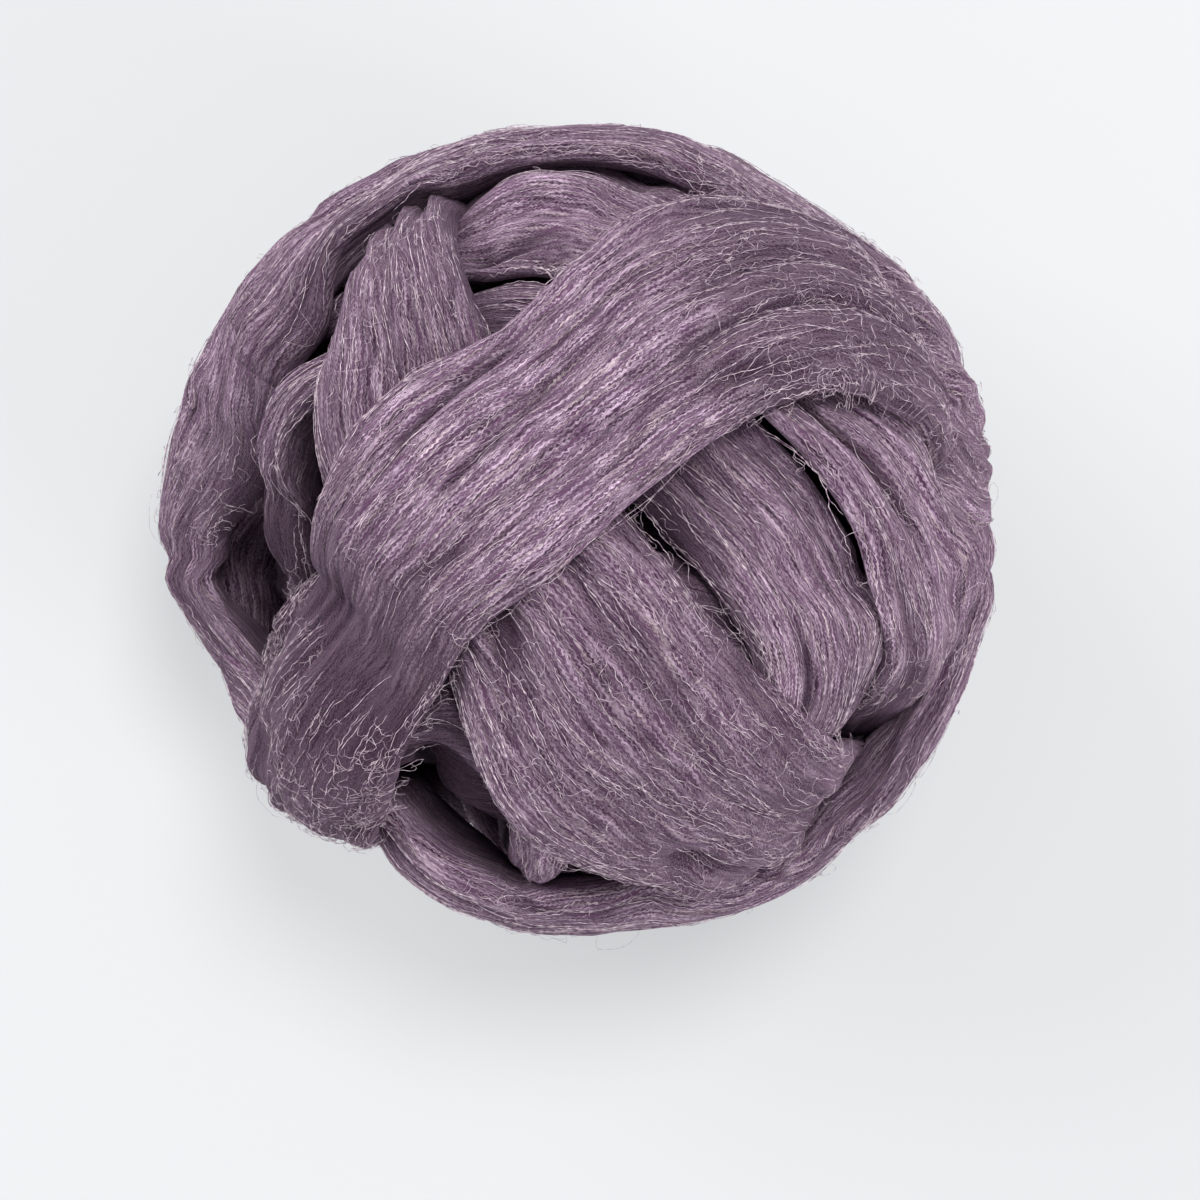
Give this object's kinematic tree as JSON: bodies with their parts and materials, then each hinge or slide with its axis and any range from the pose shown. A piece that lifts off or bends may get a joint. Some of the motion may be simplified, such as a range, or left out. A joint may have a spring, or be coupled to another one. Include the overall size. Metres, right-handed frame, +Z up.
{
  "type": "ball of wool roving",
  "caption": "Soft hand-wound ball of thick, untwisted combed wool strand. Its turns cross each other with creases and gaps between them, and it rests on a small flat spot.",
  "frame": {"origin": "on the floor under the middle of the ball's outline, at the level of the flat spot it rests on", "axes": "+Z up; +Y is the picture's top edge and +X its right edge, seen from straight above"},
  "size_m": [0.1654, 0.153, 0.1375],
  "materials": {
    "wool": "matt combed wool with a soft sheen, greyish mauve purple"
  },
  "bodies": {
    "root": {"roving_ball": "wool"}
  },
  "joints": []
}
